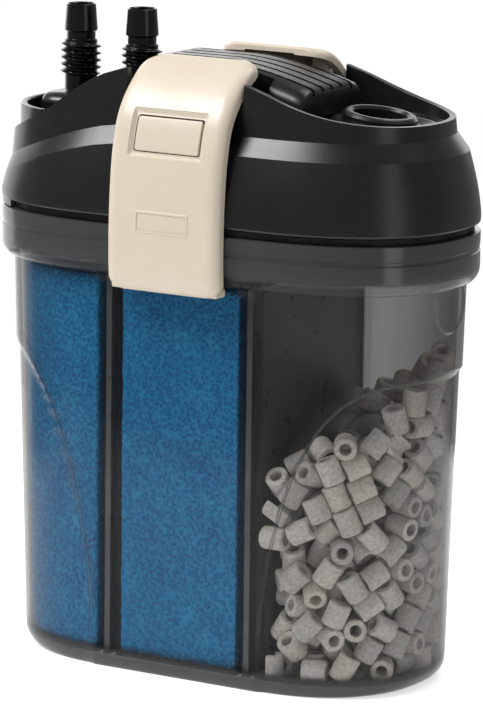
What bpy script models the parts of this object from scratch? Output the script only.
"""Small external canister filter: a clear canister with two sponges and ceramic media, closed by a
pump head that two over-centre clips hold down. Metres, +Z up, origin at the centre of the base."""
import math

import bmesh
import bpy
from mathutils import Matrix, Vector

MM = 0.001
GAP = 0.3  # clearance kept between neighbouring pieces, mm like every size below

# Plan outline: a straight middle with superelliptic ends.
STRAIGHT = 33.5
END_POWER = 2 / 2.3
END_STEPS = 12
SIDE_STATIONS = 5

# Canister
BASE_A, BASE_B = 81.5, 41.5
NECK_A, NECK_B, NECK_Z = 86.3, 42.0, 143.0
COLLAR_A, COLLAR_B = 90.7, 46.2
COLLAR_LOW_Z, COLLAR_TOP_Z = 148.6, 161.3
WALL = 2.4
FLOOR_Z = 4.5
RAIL_X, RAIL_DEPTH = 29.0, 4.0
SLOT_HALF, RAIL_HALF = 1.4, 3.8

# Head
HEAD_LOW_Z = 164.0
BAND_Z = 195.4
BAND_TALL, BAND_RUN = 6.2, 4.3
RIM_WALL = 2.2
RECESS_Z = 198.0
COVER_HALF, TAB_ROOM = 21.0, 16.0
HEAD_WALL = 2.6
POCKET_INSET, POCKET_WALL, POCKET_TOP_Z = 6.4, 2.2, 197.4

# Clips: the outer face from the foot to the top tab, as (depth from the middle plane, height).
CLIP_FACE = [(49.6, 139.5), (51.0, 145), (51.3, 160), (50.6, 176), (49.2, 188), (46.6, 198.5),
             (42.4, 206), (37.0, 211.8), (31.8, 216.0), (28.0, 217.9), (24.0, 219.0), (20.4, 219.6)]
CLIP_HALF, CLIP_FLAT, CLIP_RETURN, CLIP_WALL = 22.8, 15.6, 4.6, 2.4
CLIP_PIVOT = (30.0, 210.5)
CLIP_PIN_R = 1.1
TONGUE_HALF, TONGUE_LOW_Z, TONGUE_TOP_Z = 13.0, 188.9, 200.8
WINDOW_GAP = 0.6

# Hose side and cable side
INLET_X, OUTLET_X, BARB_TOP_Z, BARB_LOW_Z = -67.0, -41.0, 231.5, 200.0
BARB_BORE_R = 4.25
WELL_CENTRE, WELL_R, WELL_TILT = (57.0, 0.0, 199.2), 9.75, 7.0

# Pump, on a vertical axis through the origin
ROTOR_R, ROTOR_LOW_Z, ROTOR_TOP_Z = 5.6, 166.0, 188.0
TUBE_R, TUBE_WALL = 6.4, 1.6
IMPELLER_R, IMPELLER_LOW_Z, IMPELLER_TALL = 12.0, 157.2, 6.0
CHAMBER_R = 13.6
SHAFT_R = 1.5
SCREW_R = 1.5
SCREW_PLACES = ((-60, -24), (-60, 24), (60, -24), (60, 24))

# Pieces with so many joins that the EXACT solver leaves cracks in them.
CRACKS_WITH_EXACT = {"head_shell", "head_base", "impeller_cover", "front_clip", "back_clip"}

for old in list(bpy.data.objects):
    bpy.data.objects.remove(old)


def new_collection(name):
    collection = bpy.data.collections.new(name)
    bpy.context.scene.collection.children.link(collection)
    return collection


PARTS = new_collection("canister_filter")
CUTTERS = new_collection("cutters")
CUTTERS.hide_render = True


def material(name, color, roughness, metallic=0.0, alpha=1.0):
    made = bpy.data.materials.new(name)
    made.use_nodes = True
    shader = made.node_tree.nodes["Principled BSDF"]
    shader.inputs["Base Color"].default_value = (*color, 1)
    shader.inputs["Roughness"].default_value = roughness
    shader.inputs["Metallic"].default_value = metallic
    shader.inputs["Alpha"].default_value = alpha
    return made


SMOKE = material("smoke_plastic", (0.10, 0.10, 0.11), 0.15, alpha=0.4)
BLACK = material("black_plastic", (0.012, 0.012, 0.014), 0.42)
GLOSS = material("gloss_black", (0.008, 0.008, 0.009), 0.2)
CREAM = material("cream_plastic", (0.78, 0.70, 0.55), 0.35)
FOAM = material("blue_foam", (0.015, 0.10, 0.25), 0.95)
CERAMIC = material("ceramic", (0.40, 0.37, 0.34), 0.85)
RUBBER = material("black_rubber", (0.02, 0.02, 0.02), 0.7)
STEEL = material("lamination_steel", (0.45, 0.45, 0.47), 0.35, 1.0)
COPPER = material("copper_winding", (0.6, 0.25, 0.1), 0.4, 1.0)
FERRITE = material("ferrite", (0.03, 0.03, 0.035), 0.5)
SHAFT = material("shaft_ceramic", (0.8, 0.8, 0.78), 0.25)


def place(name, mesh, look, helper=False):
    obj = bpy.data.objects.new(name, mesh)
    (CUTTERS if helper else PARTS).objects.link(obj)
    if helper:
        obj.hide_render = True
        obj.display_type = "WIRE"
    elif look:
        mesh.materials.append(look)
        mesh.shade_smooth()
        mesh.set_sharp_from_angle(angle=math.radians(35))
    return obj


def finish_mesh(name, bm):
    bmesh.ops.recalc_face_normals(bm, faces=bm.faces)
    mesh = bpy.data.meshes.new(name)
    bm.to_mesh(mesh)
    bm.free()
    return mesh


def strip_cap(bm, row, apex):
    """Closes a ring that mirrors about the X axis, in strips that run from side to side."""
    count = len(row)
    for j in range(count // 2):
        corners = [row[(apex - j) % count], row[(apex - j - 1) % count],
                   row[(apex + j + 1) % count], row[(apex + j) % count]]
        bm.faces.new(list(dict.fromkeys(corners)))


def loft(name, rings, look, helper=False, closed=False, apex=None):
    """A skin over rings of equally many points. Open lofts are capped at both ends."""
    bm = bmesh.new()
    rows = [[bm.verts.new(Vector(p) * MM) for p in ring] for ring in rings]
    pairs = list(zip(rows, rows[1:])) + ([(rows[-1], rows[0])] if closed else [])
    for low, high in pairs:
        for i in range(len(low)):
            j = (i + 1) % len(low)
            bm.faces.new((low[i], low[j], high[j], high[i]))
    for row in ([] if closed else (rows[0], rows[-1])):
        if apex is None:
            bm.faces.new(row)
        else:
            strip_cap(bm, row, apex)
    return place(name, finish_mesh(name, bm), look, helper)


def box(name, low, high, look, helper=False, bevel=0.0):
    bm = bmesh.new()
    bmesh.ops.create_cube(bm, size=1)
    size = [b - a for a, b in zip(low, high)]
    middle = [(a + b) / 2 for a, b in zip(low, high)]
    bmesh.ops.transform(bm, matrix=Matrix.LocRotScale(Vector(middle) * MM, None, Vector(size) * MM),
                        verts=bm.verts)
    obj = place(name, finish_mesh(name, bm), look, helper)
    if bevel:
        edge = obj.modifiers.new("edges", "BEVEL")
        edge.width = bevel * MM
        edge.segments = 2
        edge.limit_method = "ANGLE"
    return obj


def turned(name, profile, centre, look, helper=False, steps=24, tilt=0.0, axis="Z"):
    """A profile of (radius, height), from the top of the outer side down, spun about its axis."""
    bm = bmesh.new()
    points = [bm.verts.new((r * MM, 0, z * MM)) for r, z in profile]
    for a, b in zip(points, points[1:]):
        bm.edges.new((a, b))
    if profile[0][0] > 0:
        bm.edges.new((points[-1], points[0]))
    mesh = bpy.data.meshes.new(name)
    bm.to_mesh(mesh)
    bm.free()
    obj = place(name, mesh, look, helper)
    obj.location = Vector(centre) * MM
    if axis == "X":
        obj.rotation_euler = (0, math.radians(90), 0)
    elif axis == "Z" and tilt:
        obj.rotation_euler = (0, math.radians(tilt), 0)
    screw = obj.modifiers.new("turn", "SCREW")
    screw.steps = screw.render_steps = steps
    screw.use_merge_vertices = True
    screw.merge_threshold = 1e-5
    screw.use_smooth_shade = True
    return obj


def rod(name, radius, low, high, centre, look, helper=False, steps=16, axis="Z", tilt=0.0):
    profile = [(0, high), (radius, high), (radius, low), (0, low)]
    return turned(name, profile, centre, look, helper, steps, tilt, axis)


def tube(name, outer, inner, low, high, centre, look, helper=False, steps=24, axis="Z"):
    profile = [(outer, high), (outer, low), (inner, low), (inner, high)]
    return turned(name, profile, centre, look, helper, steps, 0.0, axis)


def combine(obj, other, operation):
    step = obj.modifiers.new(other.name, "BOOLEAN")
    step.operation = operation
    step.object = other
    step.solver = "MANIFOLD" if obj.name in CRACKS_WITH_EXACT else "EXACT"


def cut(obj, *others):
    for other in others:
        combine(obj, other, "DIFFERENCE")


def join(obj, *others):
    for other in others:
        combine(obj, other, "UNION")


def plan(a, b, side_xs=None, side_depth=None):
    """Points of the plan outline with half-length a and half-depth b, anticlockwise from the front."""
    half = SIDE_STATIONS // 2
    side_xs = side_xs or [STRAIGHT * k / (half + 1) for k in range(-half, half + 1)]
    side_depth = side_depth or [0.0] * len(side_xs)
    points = [(x, -b + d) for x, d in zip(side_xs, side_depth)]
    for k in range(END_STEPS + 1):
        t = math.radians(-90 + 180 * k / END_STEPS)
        x = STRAIGHT + (a - STRAIGHT) * abs(math.cos(t)) ** END_POWER
        points.append((x, math.copysign(b * abs(math.sin(t)) ** END_POWER, t)))
    points += [(x, b - d) for x, d in zip(reversed(side_xs), reversed(side_depth))]
    points += [(-x, -y) for x, y in points[len(side_xs):len(side_xs) + END_STEPS + 1]]
    return points


def level(a, b, z, **sides):
    return [(x, y, z) for x, y in plan(a, b, **sides)]


# ---------------------------------------------------------------- canister
def rail_sides(depth, groove, spread):
    """Stations along the straight sides, with two guide rails a side or a shallow outside groove."""
    xs, depths = [], []
    for centre in (-RAIL_X, RAIL_X):
        for edge in (-RAIL_HALF, -SLOT_HALF, SLOT_HALF, RAIL_HALF):
            before = 0 if edge in (-RAIL_HALF, SLOT_HALF) else depth
            xs += [centre + edge - spread, centre + edge + spread]
            if groove:
                depths += [0 if edge == -RAIL_HALF else groove, 0 if edge == RAIL_HALF else groove]
            else:
                depths += [before, depth - before]
        if centre < 0:
            xs.append(0.0)
            depths.append(0.0)
    return {"side_xs": xs, "side_depth": depths}


def canister_wall(z):
    """Half-length and half-depth of the drafted outer wall at height z."""
    share = z / NECK_Z
    return BASE_A + (NECK_A - BASE_A) * share, BASE_B + (NECK_B - BASE_B) * share


def canister():
    flat = rail_sides(0, 0, 0.25)
    grooved = rail_sides(0, 0.5, 0.25)
    railed = rail_sides(RAIL_DEPTH, 0, 0.05)
    rings = []
    foot = 7.0
    for k in range(5):
        turn = math.radians(90 * k / 4)
        z = foot * (1 - math.cos(turn))
        a, b = canister_wall(z)
        inset = foot * (1 - math.sin(turn))
        rings.append(level(a - inset, b - inset * 0.35, z, **flat))
    for z in (foot + 1.5, 75.0, 140.0):
        rings.append(level(*canister_wall(z), z, **grooved))
    rings.append(level(*canister_wall(NECK_Z), NECK_Z, **flat))
    rings.append(level(COLLAR_A - 1.3, COLLAR_B - 1.3, COLLAR_LOW_Z - 3.2, **flat))
    for z, inset in ((COLLAR_LOW_Z, 0), (154.2, 0), (154.6, 0.4), (157.0, 0.4), (157.4, 0),
                     (COLLAR_TOP_Z - 0.5, 0), (COLLAR_TOP_Z, 0.5)):
        rings.append(level(COLLAR_A - inset, COLLAR_B - inset, z, **flat))
    rings.append(level(COLLAR_A - 2.3, COLLAR_B - 2.3, COLLAR_TOP_Z, **flat))
    rings.append(level(COLLAR_A - 2.6, COLLAR_B - 2.6, 149.0, **flat))
    rings.append(level(NECK_A - WALL, NECK_B - WALL, 144.0, **flat))
    for z in (143.5, FLOOR_Z):
        a, b = canister_wall(z)
        rings.append(level(a - WALL, b - WALL, z, **railed))
    body = loft("canister", rings, SMOKE)
    boss = rod("end_boss", 10.5, 0, 4.0, (83.0, 0, 137.5), None, True, 20, "X")
    join(body, boss)
    return body


def divider(name, side):
    a, b = side * (RAIL_X - 1.1), side * (RAIL_X + 1.1)
    low, high = min(a, b), max(a, b)
    half = canister_wall(0)[1] - WALL - 0.5
    plate = box(name, (low, -half, FLOOR_Z + 0.4), (high, half, 142.5), BLACK)
    for k in range(7):
        y = -27 + 9 * k
        cut(plate, box(f"{name}_slot_{k}", (low - 1, y - 2.2, 12), (high + 1, y + 2.2, 34), None, True))


def middle_sponge():
    half = BASE_B - WALL - 0.9
    reach = RAIL_X - RAIL_HALF - 1.0
    box("sponge_middle", (-reach, -half, FLOOR_Z + 0.5), (reach, half, 141.5), FOAM, bevel=1.5)


def end_profile(a, b, x_cut, inset):
    """The closed outline of an end compartment at +X: a straight inner side and the rounded end."""
    points = [(x, y) for x, y in plan(a - inset, b - inset) if x > x_cut + 1]
    inner = b - inset
    return [(x_cut, -inner)] + points + [(x_cut, inner)]


def end_block(name, side, x_cut, levels, look):
    """levels: (z, inset, tilt of the top along X) from the floor up."""
    rings = []
    for z, inset, slope in levels:
        a, b = canister_wall(min(z, NECK_Z))
        ring = end_profile(a, b, x_cut + (inset - 3.2), inset)
        rings.append([(side * x, y * side, z + slope * (x - 58)) for x, y in ring])
    return loft(name, rings, look)


# ---------------------------------------------------------------- head
def rim_z(x):
    """Height of the arched rim: a long shallow tail at the hose end, a dip round the cable well."""
    if x < -58:
        tail = -58 - x
        return 199.76 - 0.5 * tail + 0.002 * tail ** 2
    if x < 0:
        return 218 - 36 * (-x / 79) ** 2.2
    return 200 + 18 * math.exp(-((x / 44.8) ** 1.75))


def band_z(x):
    fall = max(0.0, (-x - 24) / 55)
    return BAND_Z - 14.8 * fall ** 1.45


def end_share(x):
    return min(1.0, max(0.0, (-x - 40) / 45))


def side_inset(x, z):
    rise = max(0.0, z - 166)
    return 2.0 * (rise / 14) ** 1.54 + 1.4 * end_share(x) * rise / 11.6


def shell_ring(outline, inset_of, z_of):
    """The outline drawn in by a depth, at a height, that both change along its length."""
    ring = []
    for x, y in outline:
        inset = inset_of(x)
        share = (COLLAR_A - inset - STRAIGHT) / (COLLAR_A - STRAIGHT)
        px = x if abs(x) <= STRAIGHT else math.copysign(STRAIGHT + (abs(x) - STRAIGHT) * share, x)
        ring.append((px, y * (COLLAR_B - inset) / COLLAR_B, z_of(x)))
    return ring


def head_shell():
    outline = plan(COLLAR_A, COLLAR_B)

    def band_low(x):
        return band_z(x) - BAND_TALL

    def low_inset(x):
        return side_inset(x, band_low(x))

    def high_inset(x):
        return low_inset(x) + BAND_RUN - 2.1 * end_share(x)

    def rim_inset(x):
        return high_inset(x) + 0.09 * max(1.2, rim_top(x) - band_z(x))

    def rim_top(x):
        return max(rim_z(x), band_z(x) + 1.2)

    def recess(x):
        return min(RECESS_Z, rim_top(x) - 2.0)

    rings = [shell_ring(outline, lambda x: high_inset(x) + HEAD_WALL, lambda x: recess(x) - HEAD_WALL),
             shell_ring(outline, lambda x: low_inset(x) + HEAD_WALL, band_low),
             shell_ring(outline, lambda x: 2.6, lambda x: 170.0),
             shell_ring(outline, lambda x: 2.6, lambda x: HEAD_LOW_Z),
             shell_ring(outline, lambda x: 0.6, lambda x: HEAD_LOW_Z),
             shell_ring(outline, lambda x: 0.0, lambda x: HEAD_LOW_Z + 0.7),
             shell_ring(outline, lambda x: 0.0, lambda x: 168.0)]
    for share in (0.35, 0.7, 1.0):
        rings.append(shell_ring(outline, lambda x, s=share: side_inset(x, 168 + s * (band_low(x) - 168)),
                                lambda x, s=share: 168 + s * (band_low(x) - 168)))
    rings.append(shell_ring(outline, high_inset, band_z))
    rings.append(shell_ring(outline, rim_inset, rim_top))
    rings.append(shell_ring(outline, lambda x: rim_inset(x) + RIM_WALL, rim_top))
    rings.append(shell_ring(outline, lambda x: rim_inset(x) + RIM_WALL + 0.8, recess))
    body = loft("head_shell", rings, BLACK, apex=SIDE_STATIONS + END_STEPS // 2)
    # A pocket wall round the hose end, the cable well, the clip notches and the lugs of the clip pins.
    sections = []
    for point in (p for p in outline if rim_z(p[0]) < POCKET_TOP_Z and p[0] < 0):
        outer = max(POCKET_INSET, rim_inset(point[0]))
        corners = ((outer, recess(point[0]) - HEAD_WALL / 2), (outer, POCKET_TOP_Z),
                   (outer + POCKET_WALL, POCKET_TOP_Z), (outer + POCKET_WALL, recess(point[0]) - HEAD_WALL / 2))
        sections.append([shell_ring([point], lambda x, i=inset: i, lambda x, h=z: h)[0]
                         for inset, z in corners])
    tower = loft("pocket_wall", sections, None, helper=True)
    well = turned("well_wall", [(0, 3.2), (WELL_R + 2.4, 3.2), (WELL_R + 3.4, 2.0),
                                (WELL_R + 3.4, -22), (0, -22)],
                  WELL_CENTRE, None, True, 32, WELL_TILT)
    join(body, tower, well)
    cut(body, rod("well_hole", WELL_R, -18, 20, WELL_CENTRE, None, True, 32, tilt=WELL_TILT),
        rod("gland_hole", 4.6, -30, -16, WELL_CENTRE, None, True, 16, tilt=WELL_TILT))
    notch = CLIP_HALF + 1.0
    for side in (-1, 1):
        ys = sorted((side * 22.0, side * 52.0))
        cut(body, box(f"clip_notch_{side}", (-notch, ys[0], 204.5), (notch, ys[1], 230), None, True))
        for end in (-1, 1):
            xs = sorted((end * 8.0, end * 12.0))
            lug_ys = sorted((side * (CLIP_PIVOT[0] - 2.0), side * (CLIP_PIVOT[0] + 2.0)))
            lug = box(f"pin_lug_{side}_{end}", (xs[0], lug_ys[0], 196.5), (xs[1], lug_ys[1], 212.2),
                      None, True)
            join(body, lug)
        bore = rod(f"pin_bore_{side}", CLIP_PIN_R + GAP, -14, 14,
                   (0, side * CLIP_PIVOT[0], CLIP_PIVOT[1]), None, True, 12, "X")
        cut(body, bore)
    cut(body, box("manifold_pocket", (-80.9, -11.6, 187.6), (-29.6, 11.6, 215), None, True),
        rod("inlet_port", 6.9, 166, 190, (INLET_X, 0, 0), None, True, 20))
    for k, (x, y) in enumerate(SCREW_PLACES):
        top = 193.4 if x < 0 else 195.8
        join(body, rod(f"screw_boss_{k}", 4.0, 167.2, top, (x, y, 0), None, True, 12))
        cut(body, rod(f"boss_bore_{k}", SCREW_R + GAP, 160, 182, (x, y, 0), None, True, 12))
    return body


def motor_cover():
    """The ribbed hump over the motor, with five grooves along its top."""
    rings = []
    for x in (-27.5, -26, -12, 4, 20, 34, 36.8, 38):
        edge = 1.6 if x in (-27.5, 38) else 0.0
        top = 217.2 - 7.4 * (max(0.0, x) / 38) ** 1.6 - edge
        half = COVER_HALF - edge * 0.7
        ring = [(-half, RECESS_Z + 0.4), (-half, top - 6.5), (-half + 1.4, top - 2.6),
                (-half + 4.6, top - 0.5), (-half + 8, top)]
        ring = ring + [(-y, z) for y, z in reversed(ring)]
        rings.append([(x, y, z) for y, z in ring])
    body = loft("motor_cover", rings, BLACK)
    for k in range(5):
        y = 6.4 * (k - 2)
        cut(body, box(f"groove_{k}", (-24, y - 0.9, 207.5 if k in (0, 4) else 208.5),
                      (45, y + 0.9, 230), None, True))
    cut(body, box("cover_hollow", (-24.5, -13.6, RECESS_Z - 1), (34.5, 13.6, 205), None, True))
    # Room beside the hump for the clips' tabs, which swing down into it as the clips open.
    for side in (-1, 1):
        ys = sorted((side * TAB_ROOM, side * 30))
        cut(body, box(f"tab_room_{side}", (-30, ys[0], RECESS_Z - 1), (CLIP_HALF + 1.6, ys[1], 230), None, True))
    return body


def head_base():
    """The head's underside: seal land, spigot, pump chamber, rotor tube and the two water ports."""
    rings = [level(COLLAR_A - inset, COLLAR_B - inset, z)
             for inset, z in ((5.4, 162.0), (5.4, 153.0), (3.6, 153.0), (3.0, 155.0), (3.0, 166.4))]
    body = loft("head_base", rings, BLACK)
    join(body, rod("chamber_wall", CHAMBER_R + 2.0, 150.8, 165, (0, 0, 0), None, True, 32),
         rod("rotor_tube", TUBE_R + TUBE_WALL, 160, 191.5, (0, 0, 0), None, True, 24),
         box("outlet_duct", (OUTLET_X - 6.4, -5.5, 154.0), (-CHAMBER_R, 5.5, 165.0), None, True))
    for name, x in (("inlet", INLET_X), ("outlet", OUTLET_X)):
        join(body, rod(f"{name}_stub", 6.4, 163, 188.0, (x, 0, 0), None, True, 20))
    cut(body, rod("chamber_space", CHAMBER_R, 150, 163.6, (0, 0, 0), None, True, 32),
        rod("rotor_space", TUBE_R, 160, 189.8, (0, 0, 0), None, True, 24),
        rod("inlet_way", 4.6, 150, 190, (INLET_X, 0, 0), None, True, 20),
        rod("outlet_way", 4.6, 158, 190, (OUTLET_X, 0, 0), None, True, 20),
        box("outlet_channel", (OUTLET_X, -3.5, 156.2), (2 - CHAMBER_R, 3.5, 163.2), None, True))
    for k, (x, y) in enumerate(SCREW_PLACES):
        cut(body, rod(f"base_bore_{k}", SCREW_R + GAP, 158, 170, (x, y, 0), None, True, 12))
    return body


def gasket():
    """A thin seal between the collar's top and the head, set back so that a dark joint line shows."""
    rings = []
    for inset, z in ((1.8, 161.7), (2.6, 161.7), (2.6, 163.6), (1.8, 163.6)):
        rings.append(level(COLLAR_A - inset, COLLAR_B - inset, z))
    return loft("head_gasket", rings, RUBBER, closed=True)


def barb(name, x):
    """A hose barb: tapered nose, neck and a coarse thread for a hose nut."""
    profile = [(BARB_BORE_R + 0.7, BARB_TOP_Z), (5.25, BARB_TOP_Z - 0.4), (5.9, BARB_TOP_Z - 9.0),
               (5.9, BARB_TOP_Z - 9.6), (5.15, BARB_TOP_Z - 9.9), (5.15, BARB_TOP_Z - 12.6)]
    z = BARB_TOP_Z - 12.9
    while z > BARB_LOW_Z + 5.5:
        profile += [(5.8, z), (7.25, z - 0.9), (7.25, z - 1.2), (5.8, z - 2.1)]
        z -= 2.5
    profile += [(5.8, BARB_LOW_Z + 0.4), (4.9, BARB_LOW_Z + 0.4), (4.9, BARB_LOW_Z - 6),
                (BARB_BORE_R, BARB_LOW_Z - 6), (BARB_BORE_R, BARB_TOP_Z)]
    return turned(name, profile, (x, 0, 0), GLOSS, steps=24)


def manifold():
    """The block that carries both barbs, with a rounded top and a round latch pin at its end."""
    rings = []
    for x, half, top in ((-79.5, 6.5, 197.0), (-78.0, 9.0, 199.2), (-72, 11.0, 199.7),
                         (-34, 11.0, 199.7), (-31.5, 10.0, 199.0), (-30.4, 8.0, 197.6)):
        ring = [(-half, 188.5), (-half, top - 4), (-half + 2.5, top - 1.0), (-half + 5.5, top)]
        ring = ring + [(-y, z) for y, z in reversed(ring)]
        rings.append([(x, y, z) for y, z in ring])
    body = loft("hose_manifold", rings, BLACK)
    for name, x in (("inlet", INLET_X), ("outlet", OUTLET_X)):
        cut(body, rod(f"{name}_seat", 5.4, 180, 210, (x, 0, 0), None, True, 20))
        tube(f"{name}_seal", 5.1, 4.2, 189.0, 193.6, (x, 0, 0), RUBBER, steps=16)
    cut(body, rod("pin_seat", 2.6, -90, -72.5, (0, -2.0, 194.4), None, True, 16, "X"))
    rod("manifold_pin", 2.3, -80.6, -72.9, (0, -2.0, 194.4), GLOSS, axis="X")
    return body


# ---------------------------------------------------------------- clips
def clip_skin(name, side, half, grow, zone=None):
    """A solid strip behind the clip's outer face: grow is (outer offset, inner offset)."""
    face = list(CLIP_FACE)
    if zone:
        low, high = zone
        face = [(interpolate(low), low)] + [p for p in face if low + 1 < p[1] < high - 1]
        face += [(interpolate(high), high)]
    rings = []
    for i, (y, z) in enumerate(face):
        before, after = face[max(0, i - 1)], face[min(len(face) - 1, i + 1)]
        along = Vector((after[0] - before[0], after[1] - before[1])).normalized()
        out = Vector((along.y, -along.x))
        o, n = Vector((y, z)) + out * grow[0], Vector((y, z)) - out * grow[1]
        rings.append([(-half, side * o.x, o.y), (half, side * o.x, o.y),
                      (half, side * n.x, n.y), (-half, side * n.x, n.y)])
    return loft(name, rings, None, True)


def interpolate(z):
    for (y0, z0), (y1, z1) in zip(CLIP_FACE, CLIP_FACE[1:]):
        if z0 <= z <= z1:
            return y0 + (y1 - y0) * (z - z0) / (z1 - z0)
    return CLIP_FACE[-1][0]


def clip_body(name, side):
    """One loft: a shallow channel section carried along the face, then window, knuckles and hook."""
    rings = []
    for i, (y, z) in enumerate(CLIP_FACE):
        before, after = CLIP_FACE[max(0, i - 1)], CLIP_FACE[min(len(CLIP_FACE) - 1, i + 1)]
        along = Vector((after[0] - before[0], after[1] - before[1])).normalized()
        out = Vector((along.y, -along.x))
        last = i == len(CLIP_FACE) - 1
        deep = CLIP_RETURN - (1.0 if last else 0.0)
        half = CLIP_HALF - (1.6 if last or i == 0 else 0)
        outer = [(-half, -deep), (-half, -2.2), (-half + 1.6, -0.7), (-CLIP_FLAT, 0)]
        inner = [(-half + 2.2, -deep), (-half + 2.4, -3.4), (-half + 4.4, -2.8), (0.5 - CLIP_FLAT, -CLIP_WALL)]
        section = outer + [(-x, d) for x, d in reversed(outer)]
        section += [(-x, d) for x, d in inner] + list(reversed(inner))
        rings.append([(x, side * (y + out.x * d), z + out.y * d) for x, d in section])
    body = loft(name, rings, CREAM)
    window = clip_skin(f"{name}_window", side, TONGUE_HALF + WINDOW_GAP, (4, 7),
                       (TONGUE_LOW_Z - GAP, TONGUE_TOP_Z + WINDOW_GAP))
    cut(body, window)
    ys = sorted((side * 42.8, side * 49.6))
    half = CLIP_HALF - 1.6
    join(body, box(f"{name}_hook", (-half, ys[0], 140.0), (half, ys[1], 142.9), None, True))
    for end in (-1, 1):
        xs = sorted((end * 13.0, end * 19.0))
        ys = sorted((side * 28.4, side * 31.8))
        join(body, box(f"{name}_web_{end}", (xs[0], ys[0], 210.0), (xs[1], ys[1], 214.9), None, True),
             rod(f"{name}_knuckle_{end}", 2.7, xs[0], xs[1],
                 (0, side * CLIP_PIVOT[0], CLIP_PIVOT[1]), None, True, 16, "X"))
    cut(body, rod(f"{name}_bore", CLIP_PIN_R + GAP, -20.4, 20.4,
                  (0, side * CLIP_PIVOT[0], CLIP_PIVOT[1]), None, True, 12, "X"))
    return body


def tongue(name, side):
    skin = clip_skin(name + "_strip", side, TONGUE_HALF, (-0.3, CLIP_WALL), (TONGUE_LOW_Z, TONGUE_TOP_Z))
    obj = place(name, skin.data.copy(), CREAM)
    bpy.data.objects.remove(skin)
    return obj


# ---------------------------------------------------------------- pump internals
def pump():
    rod("rotor_shaft", SHAFT_R, 156.6, 188.6, (0, 0, 0), SHAFT)
    tube("top_bush", 3.6, SHAFT_R + 0.35, 188.6 - 1.6, 189.4, (0, 0, 0), RUBBER, steps=16)
    tube("rotor_magnet", ROTOR_R, SHAFT_R + 0.4, ROTOR_LOW_Z, 186.4, (0, 0, 0), FERRITE)
    wheel = tube("impeller", 4.0, SHAFT_R + 0.4, IMPELLER_LOW_Z, ROTOR_LOW_Z - 0.3, (0, 0, 0), GLOSS)
    for k in range(6):
        blade = box(f"blade_{k}", (3.0, -0.6, IMPELLER_LOW_Z), (IMPELLER_R, 0.6, 163.0), None, True)
        blade.rotation_euler = (0, 0, math.radians(60 * k))
        join(wheel, blade)
    cover = tube("impeller_cover", CHAMBER_R - GAP, 5.0, 151.2, 153.8, (0, 0, 0), BLACK, steps=32)
    spout = tube("suction_spout", 7.0, 5.0, 145.2, 152.0, (0, 0, 0), None, True)
    join(cover, spout)
    cover_hub = rod("cover_hub", 3.4, 151.2, 155.8, (0, 0, 0), None, True)
    spoke = box("cover_spoke", (-6.5, -1.0, 151.4), (6.5, 1.0, 153.4), None, True)
    join(cover, spoke, cover_hub)
    cut(cover, rod("cover_hub_bore", 2.7, 154.0, 157, (0, 0, 0), None, True))
    tube("bottom_bush", 2.4, SHAFT_R + 0.35, 154.3, 156.9, (0, 0, 0), RUBBER, steps=16)
    strainer = tube("intake_strainer", 9.4, 7.4, 144.4, 150.6, (0, 0, 0), BLACK, steps=24)
    join(strainer, rod("strainer_end", 9.4, 142.4, 144.8, (0, 0, 0), None, True, 24))
    for k in range(4):
        slot = box(f"strainer_slot_{k}", (-12, -0.9, 145.2), (12, 0.9, 149.0), None, True)
        slot.rotation_euler = (0, 0, math.radians(45 * k))
        cut(strainer, slot)


def motor():
    """A laminated core round the rotor tube, with a wound bobbin on each leg."""
    core = box("stator_core", (-20, -17, 170.5), (30, 17, 180.5), STEEL)
    cut(core, rod("core_bore", TUBE_R + TUBE_WALL + 0.4, 165, 190, (0, 0, 0), None, True, 24),
        box("core_window", (11.5, -8.2, 165), (22, 8.2, 190), None, True))
    for name, side in (("coil_front", -1), ("coil_back", 1)):
        y = side * 12.6
        coil = box(name, (12.4, y - 6.6, 167.6), (21.2, y + 6.6, 183.4), COPPER, bevel=0.8)
        cut(coil, box(f"{name}_leg", (10, y - 4.8 if side < 0 else y - 4.8, 170.1),
                      (24, y + 4.8, 180.9), None, True))


def fasteners():
    for k, (x, y) in enumerate(SCREW_PLACES):
        profile = [(0, 180), (SCREW_R, 180), (SCREW_R, 161.7), (3.2, 161.7), (3.0, 159.6), (0, 159.6)]
        turned(f"head_screw_{k + 1}", profile, (x, y, 0), STEEL, steps=12)
    for name, side in (("front", -1), ("back", 1)):
        rod(f"{name}_clip_pin", CLIP_PIN_R, -20, 20, (0, side * CLIP_PIVOT[0], CLIP_PIVOT[1]),
            SHAFT, steps=12, axis="X")


def gland():
    profile = [(2.2, -13), (3.6, -13), (6.5, -15.4), (6.5, -17.6), (4.3, -17.6), (4.3, -24), (2.2, -24)]
    turned("cable_gland", profile, WELL_CENTRE, RUBBER, steps=20, tilt=WELL_TILT)


canister()
divider("divider_left", -1)
divider("divider_right", 1)
end_block("sponge_left", -1, 33.6, ((5, 4.2, 0), (8, 3.2, 0), (139.5, 3.4, 0), (141.5, 4.6, 0)), FOAM)
middle_sponge()
end_block("ceramic_media", 1, 33.6, ((5, 4.2, 0), (8, 3.2, 0), (93, 3.2, 0.8), (95, 4.2, 0.8)), CERAMIC)
head_shell()
head_base()
gasket()
motor_cover()
motor()
pump()
gland()
manifold()
barb("inlet_barb", INLET_X)
barb("outlet_barb", OUTLET_X)
fasteners()
for clip_name, clip_side in (("front", -1), ("back", 1)):
    clip_body(f"{clip_name}_clip", clip_side)
    tongue(f"{clip_name}_tongue", clip_side)
